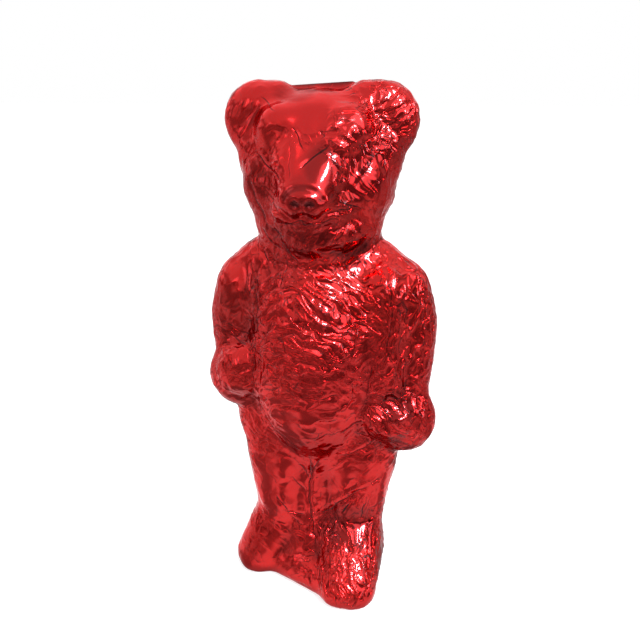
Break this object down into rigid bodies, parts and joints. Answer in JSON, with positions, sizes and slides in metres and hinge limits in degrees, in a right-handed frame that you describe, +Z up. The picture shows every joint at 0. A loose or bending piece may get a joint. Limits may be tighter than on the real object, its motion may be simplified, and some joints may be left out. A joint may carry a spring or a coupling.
{
  "type": "foil-wrapped chocolate bear",
  "caption": "Standing chocolate bear figure wrapped all over in crinkled shiny red foil, with a moulded face, fur and paws, one foot a step ahead.",
  "frame": {"origin": "middle of the bear's bounding box, on the floor plane under its feet", "axes": "+Z up along the standing bear's length, the bear faces -Y, and its own left side is at +X"},
  "size_m": [0.0728, 0.0464, 0.16],
  "materials": {
    "red_foil": "thin crinkled foil, mirror-bright under a clear red lacquer"
  },
  "bodies": {
    "root": {"foil_wrapped_bear": "red_foil"}
  },
  "joints": []
}
